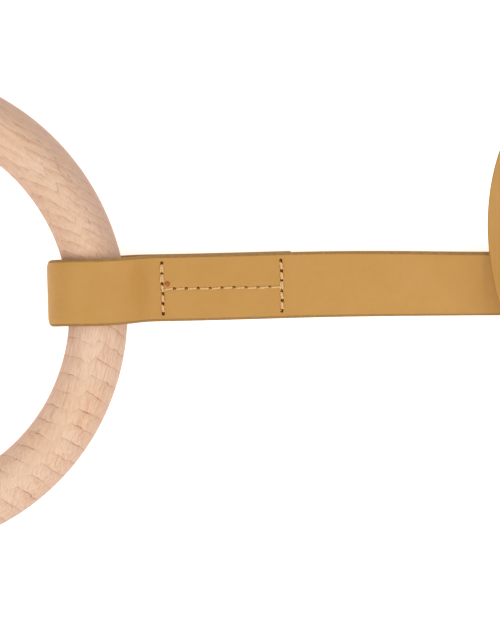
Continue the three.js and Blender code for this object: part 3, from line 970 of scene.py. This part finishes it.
def fused(piece, voxel, passes):
    """Joins a piece's overlapping bodies into one, with the soft inner corners of a casting."""
    remesh = piece.modifiers.new("fuse", "REMESH")
    remesh.mode = "VOXEL"
    remesh.voxel_size = voxel * MM
    relax = piece.modifiers.new("soften", "SMOOTH")
    relax.factor = 0.5
    relax.iterations = passes
    graph = bpy.context.evaluated_depsgraph_get()
    mesh = bpy.data.meshes.new_from_object(piece.evaluated_get(graph))
    piece.modifiers.clear()
    old = piece.data
    piece.data = mesh
    bpy.data.meshes.remove(old)
    mesh.shade_smooth()
    return piece


def make_eye(unit, steel):
    """A rectangular loop of wire with a hub for the hook's stem."""
    eye = Shape()
    half = STRAP_WIDE / 2 + EYE_ROOM + EYE_WIRE
    x, y = EYE_LENGTH - EYE_CORNER, half - EYE_CORNER
    outline = []
    for cx, cy, start in ((x, -y, -90), (x, y, 0), (EYE_CORNER, y, 90), (EYE_CORNER, -y, 180)):
        outline += arc(Vector((cx, cy, 0)), EYE_CORNER, start, start + 90, 8)
    wire(eye, outline, EYE_WIRE - 0.05, 24, closed=True)
    bore = STEM_RADIUS + STEM_ROOM
    bevelled = HUB_RADIUS - HUB_BEVEL
    profile = [(HUB_START - 0.1, bore), (HUB_START, bevelled), (HUB_START + HUB_BEVEL, HUB_RADIUS),
               (HUB_END - HUB_BEVEL, HUB_RADIUS), (HUB_END, bevelled), (HUB_END + 0.1, bore)]
    rows = []
    for height, radius in profile:
        angles = (2 * math.pi * k / 36 for k in range(36))
        rows.append([RIGHT * height + Vector((0, math.cos(a), math.sin(a))) * radius for a in angles])
    eye.loft(rows, closed=True)
    piece = eye.build(unit.name("eye"), unit.hook_world, [steel], flat_angle=40)
    attach(piece, unit.name("eye"), "steel", unit.name("swivel_eye"))


def make_hook_body(unit, steel):
    """The bow, the collar, the stem through the hub with its riveted end, and two ears for the gate's pin."""
    body = Shape()
    path = bezier(Vector((COLLAR + 2, 0, 0)), Vector((COLLAR + 7, 0, 0)), Vector((23, -BOW_RADIUS, 0)),
                  Vector((30, -BOW_RADIUS, 0)), 14)
    path += [Vector((mix(30, BOW_X, i / 6), -BOW_RADIUS, 0)) for i in range(1, 6)]
    path += arc(Vector((BOW_X, 0, 0)), BOW_RADIUS, -90, 90, 24)
    path += [Vector((mix(BOW_X, GATE_TIP + 2.4, i / 3), BOW_RADIUS, 0)) for i in range(1, 4)]
    wire(body, path, HOOK_WIRE, 24, round_ends=True)
    middle = Vector((0, 0, 0))
    collar = [(COLLAR, 3.9), (COLLAR + 0.7, 4.7), (COLLAR + 3.6, 4.7), (COLLAR + 4.4, 3.9)]
    turned(body, collar, middle, RIGHT)
    turned(body, [(7.5, 2.9), (7.8, 3.5), (9.3, 3.5), (9.5, 3.2)], middle, RIGHT)
    turned(body, [(9.2, STEM_RADIUS), (COLLAR + 1, STEM_RADIUS)], middle, RIGHT, 24)
    angles = [math.radians(mix(-70, 110, i / 12)) for i in range(13)]
    outline = [(COLLAR + 0.8, -2.0), (PIVOT.x, 1.4)]
    outline += [(PIVOT.x + EAR_RADIUS * math.cos(a), PIVOT.y + EAR_RADIUS * math.sin(a)) for a in angles]
    outline += [(COLLAR + 0.8, 3.6)]
    for low in (EAR_GAP, -EAR_GAP - EAR_THICK):
        body.loft([[Vector((x, y, low + h)) for x, y in outline] for h in (0.0, EAR_THICK)])
    piece = fused(body.build(unit.name("hook"), unit.hook_world, [steel]), 0.42, 3)
    attach(piece, unit.name("hook"), "steel", unit.name("hook_body"))


def make_gate(unit, dark_steel):
    """A flat bar with bevelled edges, from a round end on the pin to the hook's tip."""
    gate = Shape()
    reach = GATE_TIP - PIVOT.x
    swing = BOW_RADIUS - PIVOT.y
    angles = [math.radians(mix(90, 270, i / 16)) for i in range(17)]
    outline = [(GATE_WIDE * math.cos(a), GATE_WIDE * math.sin(a)) for a in angles]
    outline += [(reach - 0.6, swing - GATE_WIDE), (reach, swing - GATE_WIDE + 0.6),
                (reach, swing + GATE_WIDE - 0.6), (reach - 0.6, swing + GATE_WIDE)]
    bottom = 0.3 - EAR_GAP
    rows = []
    for height, inset in ((0.05, 0.4), (0.35, 0.0), (2.25, 0.0), (2.55, 0.4)):
        row = []
        for x, y in outline:
            inner_x = x - math.copysign(inset, x - reach / 2)
            inner_y = y - math.copysign(inset, y - swing / 2)
            row.append(PIVOT + Vector((inner_x, inner_y, height + bottom)))
        rows.append(row)
    gate.loft(rows)
    piece = gate.build(unit.name("gate"), unit.hook_world, [dark_steel], flat_angle=35)
    attach(piece, unit.name("gate"), "steel", unit.name("hook_gate"))


def make_pin(unit, steel):
    """The gate's pin, with a riveted head over the upper ear."""
    pin = Shape()
    top = EAR_GAP + EAR_THICK
    profile = [(-top - 0.1, 0.6), (-top + 0.1, PIN_RADIUS), (top + 0.2, PIN_RADIUS), (top + 0.3, 2.1),
               (top + 0.9, 1.9), (top + 1.25, 1.2), (top + 1.38, 0.05)]
    turned(pin, profile, PIVOT, UP)
    piece = pin.build(unit.name("pin"), unit.hook_world, [steel], flat_angle=50)
    attach(piece, unit.name("hook"), "steel", unit.name("gate_pin"))


def make_spring(unit, dark_steel):
    """A torsion spring round the pin, between the gate and the upper ear."""
    spring = Shape()
    turns = 3
    steps = 24 * turns
    points = []
    for i in range(steps + 1):
        angle = 2 * math.pi * turns * i / steps
        height = mix(0.95, EAR_GAP - 0.5, i / steps)
        points.append(PIVOT + Vector((math.cos(angle), math.sin(angle), 0)) * SPRING_RADIUS + UP * height)
    wire(spring, points, SPRING_WIRE, 8, round_ends=True)
    piece = spring.build(unit.name("spring"), unit.hook_world, [dark_steel])
    attach(piece, unit.name("hook"), "steel", unit.name("gate_spring"))


# ---- Everything -------------------------------------------------------------------------------------------
def main():
    units = [Set(number) for number in (1, 2)]
    make_camera(units[0])
    make_lights(units[0])
    make_floor(white_floor())
    wood = beech()
    leather = [faux_leather(), cut_edge()]
    threads = [waxed_thread(), painted_hole_shade(), melted_end()]
    steel = satin_steel("satin_steel", (0.72, 0.71, 0.69))
    dark_steel = satin_steel("gate_steel", (0.55, 0.55, 0.55))
    for unit in units:
        make_ring(unit, wood)
        length = make_strap(unit, leather)
        print(f"strap {unit.number}: {length:.0f} mm long")
        make_thread(unit, threads)
        make_eye(unit, steel)
        make_hook_body(unit, steel)
        make_gate(unit, dark_steel)
        make_pin(unit, steel)
        make_spring(unit, dark_steel)


main()
